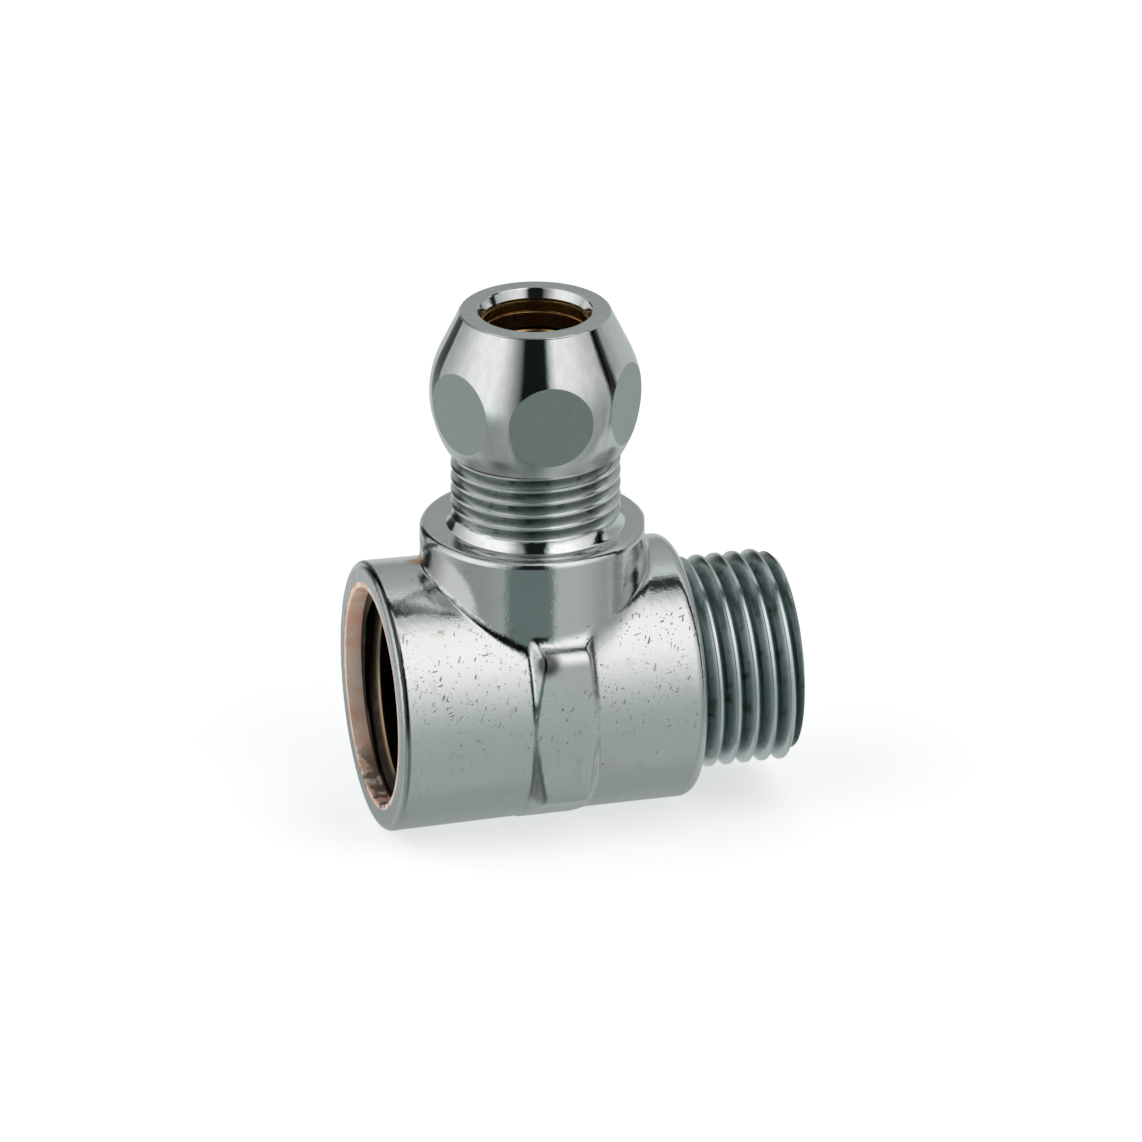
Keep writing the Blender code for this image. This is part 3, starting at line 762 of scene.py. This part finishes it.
def painted_shade_mask(tree, place, x, y, z, run_r):
    """Painted dark: shade along the join of the boss and the run and under the band's left step, and dark
    reflections on the rounding behind the socket's lip and at the band's corner.
    """
    uneven = noise(tree, place, 1.6, 3) * 0.5
    boss_r = ((x - BOSS_SHIFT) * (x - BOSS_SHIFT) + y * y).math("SQRT")
    off_boss = (boss_r - BOSS_R).math("ABSOLUTE")
    off_barrel = (run_r - SOCKET_BARREL_R).math("ABSOLUTE")
    off_band = (z * HEX_SLANT - y.math("ABSOLUTE") * 0.5 - BAND_APOTHEM).math("ABSOLUTE")
    # Painted shade along the join of the boss and the run, on its upper part
    crease_shade = (off_boss + off_barrel.math("MINIMUM", off_band) + uneven).ramp(0.32, 0.75, 0.92, 0.0)
    crease_shade = crease_shade * x.ramp(0.0, 3.0, 1.0, 0.35) * z.ramp(1.0, 4.0)
    # A painted dark reflection along the rounding behind the socket's lip, on its upper side
    lip_reflection = between(x - SOCKET_FACE - uneven * 0.2, 0.12, 0.22, 0.42, 0.55) * z.ramp(-1.0, 2.5)
    lip_reflection = lip_reflection * run_r.ramp(12.7, 12.9)
    # A painted dark reflection: a patchy blot at the band's corner
    corner = near((x, y, z), BAND_CORNER_REFLECTION, MARK_REACH) * noise(tree, place, 1.1, 2).ramp(0.30, 0.42)
    # Painted shade under the band's left step, on its lower side
    off_step = (run_r - PLAIN_BARREL_R + STEP_START) * BAND_LEFT_RUN - (x - BAND_LEFT) * BAND_RISE
    step_shade = off_step.math("ABSOLUTE").ramp(0.2, 0.6, 0.55, 0.0) * between(z, -8.5, -7.0, -4.0, -2.0)
    # All of these are painted shade and painted dark reflections
    shade_and_reflections = crease_shade.math("MAXIMUM", lip_reflection * 0.95).math("MAXIMUM", corner * 0.9)
    return shade_and_reflections.math("MAXIMUM", step_shade)


def forged_chrome():
    """Chrome plate on the forging: nicked and pitted on its barrels, rougher and painted darker below, with
    painted shade at its joins and painted dark reflections.
    """
    material, tree, shader = metal("forged_chrome")
    place = places_mm(tree)
    x, y, z = split(tree, place)
    run_r = (y * y + z * z).math("SQRT")
    cloud = noise(tree, place, 0.25, 3)
    grain = noise(tree, place, 2.6, 2)
    fine = noise(tree, place, 6.0, 2)
    # Towards the bottom the colour turns darker and greener, painted shade on the underside; the same mask
    # also makes the surface rougher there
    low_shade_and_rough = ((z * -1).ramp(-8.0, 4.0) * 0.8 + cloud * 0.3).math("MINIMUM", 1.0)
    nicks = nick_mask(tree, place, y, z, run_r)
    stain = noise(tree, place, 0.55, 3).ramp(0.60, 0.74) * 0.35 * x.ramp(-4.0, 6.0, 1.0, 0.6)
    worn = near((x, y, z), COPPER_SPOT, MARK_REACH) * noise(tree, place, 1.3, 3).ramp(0.30, 0.48)
    colour = mix_colour(tree, low_shade_and_rough, CHROME, CHROME_SHADED_LOW)
    colour = mix_colour(tree, stain, colour, STAIN)
    colour = mix_colour(tree, worn, colour, COPPER)
    colour = mix_colour(tree, nicks * 0.62, colour, DIRT_AND_SHADE)
    # Painted shade and painted dark reflections over the plate
    colour = mix_colour(tree, painted_shade_mask(tree, place, x, y, z, run_r), colour, PAINTED_DARK)
    tree.links.new(colour, shader.inputs["Base Color"])
    rough = low_shade_and_rough * 0.15 + grain * 0.05 + nicks * 0.2 + stain * 0.1 + worn * 0.2 + 0.07
    rough = rough + z.ramp(-9.5, -4.0, 0.22, 0.0)
    tree.links.new(rough.socket, shader.inputs["Roughness"])
    skin = bump(tree, noise(tree, place, 0.55, 2), 0.035, 0.5)
    skin = bump(tree, noise(tree, place, 1.5, 3), 0.028, 0.5, skin)
    skin = bump(tree, grain + fine * 0.5, 0.009, 0.55, skin)
    skin = bump(tree, nicks, -0.07, 0.85, skin)
    tree.links.new(skin, shader.inputs["Normal"])
    return material


def bare_mouth():
    """The turned ring inside the socket's mouth, where the copper under the plate shows."""
    material, tree, shader = metal("bare_mouth")
    place = places_mm(tree)
    z = split(tree, place)[2]
    patchy = noise(tree, place, 0.45, 4).ramp(0.36, 0.62)
    colour = mix_colour(tree, patchy, MOUTH_PALE, MOUTH_COPPER)
    # Dark patches, only towards the bottom of the ring
    dark_patches = noise(tree, place, 0.7, 3).ramp(0.42, 0.56) * z.ramp(-9.8, -7.5, 1.0, 0.0)
    colour = mix_colour(tree, dark_patches * 0.85, colour, DIRT_AND_SHADE)
    tree.links.new(colour, shader.inputs["Base Color"])
    shader.inputs["Metallic"].default_value = 0.3
    shader.inputs["Roughness"].default_value = 0.45
    rings = noise(tree, places_mm(tree, (7.0, 0.02, 0.02)), 1.0, 2)
    tree.links.new(bump(tree, rings, 0.02, 0.6), shader.inputs["Normal"])
    return material


def thread_metal(name, along, root_r, crest_r, root_shade_colour, crest_colour, neck_top=None):
    """Thread: painted shade in the roots, lighter on the crests, with a painted highlight on the stub's
    crests, and patches of dirt that deepen the shade in the roots. A neck below neck_top is shinier.

    along is the number of the thread's own axis: 0 for the run, 2 for the branch.
    """
    material, tree, shader = metal(name)
    place = places_mm(tree)
    parts = split(tree, place)
    across = [part for index, part in enumerate(parts) if index != along]
    radius = (across[0] * across[0] + across[1] * across[1]).math("SQRT")
    height = radius.ramp(root_r, crest_r)
    cloud = noise(tree, place, 0.5, 3)
    # Painted shade in the roots, lighter towards the crests
    colour = mix_colour(tree, height, root_shade_colour, crest_colour)
    # Patches of dirt, stronger towards the roots, where they are partly painted shade too
    dark_patches = noise(tree, place, 0.9, 4).ramp(0.52, 0.72) * height.ramp(0.0, 0.8, 0.75, 0.12)
    colour = mix_colour(tree, dark_patches, colour, DIRT_AND_SHADE)
    tree.links.new(colour, shader.inputs["Base Color"])
    rough = height.ramp(0.0, 1.0, 0.27, 0.16) + cloud * 0.07
    if neck_top:
        rough = rough * parts[along].ramp(neck_top, neck_top + 0.5, 0.35, 1.0)
    tree.links.new(rough.socket, shader.inputs["Roughness"])
    skin = bump(tree, noise(tree, place, 0.8, 2), 0.02, 0.5)
    skin = bump(tree, noise(tree, place, 2.4, 3), 0.009, 0.6, skin)
    tree.links.new(skin, shader.inputs["Normal"])
    return material


def nut_chrome():
    """Polished plate on the turned nut, with faint rings from the lathe."""
    material, tree, shader = metal("nut_chrome")
    place = places_mm(tree)
    rings = noise(tree, places_mm(tree, (0.02, 0.02, 6.0)), 1.0, 2)
    cloud = noise(tree, place, 0.4, 3)
    streaks = noise(tree, places_mm(tree, (1.5, 1.5, 0.22)), 1.0, 3)
    colour = mix_colour(tree, streaks.ramp(0.35, 0.65), NUT_PLATE, NUT_PLATE_STREAK)
    tree.links.new(colour, shader.inputs["Base Color"])
    skirt = split(tree, place)[2].ramp(NUT_BOTTOM + 0.6, NUT_BOTTOM + 3.2, 0.24, 0.0)
    tree.links.new((cloud * 0.04 + streaks * 0.03 + skirt + 0.035).socket, shader.inputs["Roughness"])
    skin = bump(tree, rings, 0.002, 0.5)
    skin = bump(tree, noise(tree, place, 0.9, 2), 0.006, 0.5, skin)
    skin = bump(tree, noise(tree, place, 2.6, 2), 0.003, 0.5, skin)
    tree.links.new(skin, shader.inputs["Normal"])
    return material


def brushed_flats():
    """The nut's flats: finely milled, so that they look matt."""
    material, tree, shader = metal("brushed_flats")
    lines = noise(tree, places_mm(tree, (1.2, 1.2, 9.0)), 1.0, 3)
    weave = noise(tree, places_mm(tree, (7.0, 7.0, 0.9)), 1.0, 2)
    cloud = noise(tree, places_mm(tree), 0.35, 3)
    colour = mix_colour(tree, (lines + weave) * 0.5, FLAT_DARK, FLAT_PALE)
    tree.links.new(colour, shader.inputs["Base Color"])
    tree.links.new((cloud * 0.1 + lines * 0.08 + 0.27).socket, shader.inputs["Roughness"])
    tree.links.new(bump(tree, lines + weave, 0.005, 0.5), shader.inputs["Normal"])
    return material


def bare_brass():
    """Turned brass, a little tarnished."""
    material, tree, shader = metal("bare_brass")
    place = places_mm(tree)
    tarnish = noise(tree, place, 0.7, 4).ramp(0.35, 0.75)
    rings = noise(tree, places_mm(tree, (0.05, 0.05, 5.0)), 1.0, 2)
    colour = mix_colour(tree, tarnish, BRASS, BRASS_TARNISHED)
    tree.links.new(colour, shader.inputs["Base Color"])
    tree.links.new((tarnish * 0.15 + 0.22).socket, shader.inputs["Roughness"])
    tree.links.new(bump(tree, rings, 0.004, 0.6), shader.inputs["Normal"])
    return material


# ---------------------------------------------------------------- studio

ROOM_TINT, LIGHT_TINT, DARK_TINT = (0.925, 1.0, 0.985), (1.0, 0.98, 0.985), (0.76, 1.0, 0.97)
DEGREES = 180 / math.pi


def direction_of(azimuth_deg, elevation_deg):
    """A unit vector. Azimuth is counted from the camera's own, to the right."""
    azimuth = CAMERA_AZIMUTH + math.radians(azimuth_deg)
    elevation = math.radians(elevation_deg)
    level = math.cos(elevation)
    return Vector((math.sin(azimuth) * level, -math.cos(azimuth) * level, math.sin(elevation)))


def studio_world():
    """What the metal mirrors: a grey room, a soft box on each side, a dark front and a dark strip overhead.

    turn is the azimuth from the camera's, to the right, and rise the elevation, in degrees.
    over goes from 0 at the camera's side, over the top, to 180 at the back.
    """
    world = bpy.data.worlds.new("studio")
    world.use_nodes = True
    tree = world.node_tree
    source = tree.nodes.new("ShaderNodeTexCoord")
    x, y, z = split(tree, source.outputs["Generated"])
    front, right = direction_of(0, 0), direction_of(90, 0)
    ahead = x * front.x + y * front.y
    aside = x * right.x + y * right.y
    turn = aside.math("ARCTAN2", ahead) * DEGREES
    left_turn = turn * -1
    rise = z.math("ARCSINE") * DEGREES
    over = z.math("ARCTAN2", ahead) * DEGREES

    wall = over.ramp(113, 135) * rise.ramp(0, 14)
    back = (wall * -0.30 + 0.80) * rise.ramp(12, 45, 0.78, 1.0)
    low_front = left_turn.ramp(-15, 60, 0.61, 0.37)
    room = mix_value(ahead.ramp(-0.35, 0.35), back, low_front) * rise.ramp(-90, -45, 0.72, 1.0)
    strip = between(over, 93, 98, 107, 113)
    gap_left = between(left_turn, 127, 133, 147, 153)
    gap_right = between(turn, 85, 90, 98, 106)
    gaps = gap_left.math("MAXIMUM", gap_right) * rise.ramp(-25, 5, 0.55, 0.95)
    gaps = gaps * between(rise, -36, -22, 50, 65)
    room = room * (strip * -0.97 + 1) * (gaps * -1 + 1)

    sky = rise.ramp(-20, 48, 0.58, 1.30) * turn.ramp(43, 85, 1.0, 0.68)
    right_share = between(turn, 17, 29, 80, 90) * over.ramp(84, 96, 1.0, 0.0)
    glow = left_turn.ramp(10, 52, 0.08, 1.18) * left_turn.ramp(70, 130, 1.0, 0.42)
    left_share = between(left_turn, 14, 24, 122, 131) * rise.ramp(-24, 2) * rise.ramp(45, 60, 1.0, 0.0)
    light = mix_value(right_share, room, sky)
    light = mix_value(left_share, light, glow)

    # The dark front widens below the horizon
    left_edge = left_turn - rise.ramp(-40, 8, 12, 0)
    right_edge = turn - rise.ramp(-40, 8, 6, 0)
    dark_front = left_edge.ramp(14, 23, 1.0, 0.0) * right_edge.ramp(13, 20, 1.0, 0.0)
    dark_front = dark_front * rise.ramp(58, 72, 1.0, 0.0)
    light = mix_value(dark_front, light, rise.ramp(-22, 4, 0.22, 0.012))

    bright = right_share.math("MAXIMUM", left_share) * rise.ramp(-8, 28)
    tint = mix_colour(tree, bright, ROOM_TINT, LIGHT_TINT)
    tint = mix_colour(tree, dark_front, tint, DARK_TINT)
    background = tree.nodes["Background"]
    tree.links.new(tint, background.inputs["Color"])
    tree.links.new(light.socket, background.inputs["Strength"])
    # The camera itself sees plain white
    page = tree.nodes.new("ShaderNodeBackground")
    page.inputs["Strength"].default_value = 1.0
    page.inputs["Color"].default_value = (1, 1, 1, 1)
    path = tree.nodes.new("ShaderNodeLightPath")
    choose = tree.nodes.new("ShaderNodeMixShader")
    tree.links.new(path.outputs["Is Camera Ray"], choose.inputs[0])
    tree.links.new(background.outputs[0], choose.inputs[1])
    tree.links.new(page.outputs[0], choose.inputs[2])
    tree.links.new(choose.outputs[0], tree.nodes["World Output"].inputs["Surface"])
    bpy.context.scene.world = world


def pale_floor():
    """A white sweep under the part. The metal mirrors the room and not the floor."""
    bpy.ops.mesh.primitive_plane_add(size=6.0, location=(0, 0, BODY_LOW[2] * MM))
    floor = bpy.context.object
    floor.name = "floor"
    material = bpy.data.materials.new("pale_floor")
    material.use_nodes = True
    shader = material.node_tree.nodes["Principled BSDF"]
    shader.inputs["Base Color"].default_value = (0.9, 0.9, 0.9, 1)
    shader.inputs["Roughness"].default_value = 0.9
    shader.inputs["Specular IOR Level"].default_value = 0.0
    shader.inputs["Emission Color"].default_value = (1, 1, 1, 1)
    shader.inputs["Emission Strength"].default_value = 0.55
    floor.data.materials.append(material)
    floor.visible_glossy = False


def photo_camera():
    """A long lens, looking down on the part from its socket side."""
    back = direction_of(0, math.degrees(CAMERA_ELEVATION))
    right = Vector((math.cos(CAMERA_AZIMUTH), math.sin(CAMERA_AZIMUTH), 0))
    up = back.cross(right)
    data = bpy.data.cameras.new("camera")
    data.sensor_width = 36.0
    data.lens = CAMERA_LENS
    data.clip_start = 0.05
    data.clip_end = 20.0
    camera = bpy.data.objects.new("camera", data)
    bpy.context.scene.collection.objects.link(camera)
    camera.location = (back * CAMERA_DISTANCE + right * AIM_RIGHT + up * AIM_UP) * MM
    tilt = Matrix((right, up, back)).transposed().to_quaternion()
    camera.rotation_mode = "QUATERNION"
    camera.rotation_quaternion = Matrix.Rotation(CAMERA_ROLL, 3, back).to_quaternion() @ tilt
    bpy.context.scene.camera = camera


# ---------------------------------------------------------------- assembly

def place_piece(piece, body, node, slot, *materials):
    """Give a piece its finish, and let it ride on a CAD body in place of a CAD node."""
    for material in materials:
        piece.data.materials.append(material)
    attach(piece, body)
    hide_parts(node)


def main():
    place_piece(forged_body(), "fitting", "tee_body", "chrome_plate", forged_chrome())
    place_piece(mouth_ring(), "fitting", "tee_body", "chrome_plate", bare_mouth())
    run_finish = thread_metal(
        "male_thread_metal", 0, RUN_MINOR, RUN_MAJOR, MALE_ROOT_SHADE, MALE_CREST_COLOUR,
    )
    stub_finish = thread_metal(
        "stub_metal", 2, BRANCH_MINOR, BRANCH_MAJOR, STUB_ROOT_SHADE, STUB_CREST_HIGHLIGHT, NECK_TOP,
    )
    socket_finish = thread_metal(
        "socket_metal", 0, SOCKET_SHADED_R, SOCKET_BROWN_R, SOCKET_ROOT_SHADE, SOCKET_CREST_COLOUR,
    )
    place_piece(male_thread(), "fitting", "tee_body", "chrome_plate", run_finish)
    place_piece(branch_stub(), "fitting", "tee_body", "chrome_plate", stub_finish)
    place_piece(socket_thread(), "fitting", "tee_body", "chrome_plate", socket_finish)
    nut = nut_shell()
    paint_nut_faces(nut)
    brass = bare_brass()
    place_piece(nut, "nut", "compression_nut", "nut_chrome_plate", nut_chrome(), brushed_flats(), brass)
    place_piece(nut_thread(), "nut", "compression_nut", "nut_chrome_plate", brass)
    place_piece(brass_ring(), "ring", "compression_ring", "bare_brass", brass)
    studio_world()
    pale_floor()
    photo_camera()
    bpy.context.scene.view_settings.view_transform = "Standard"


main()
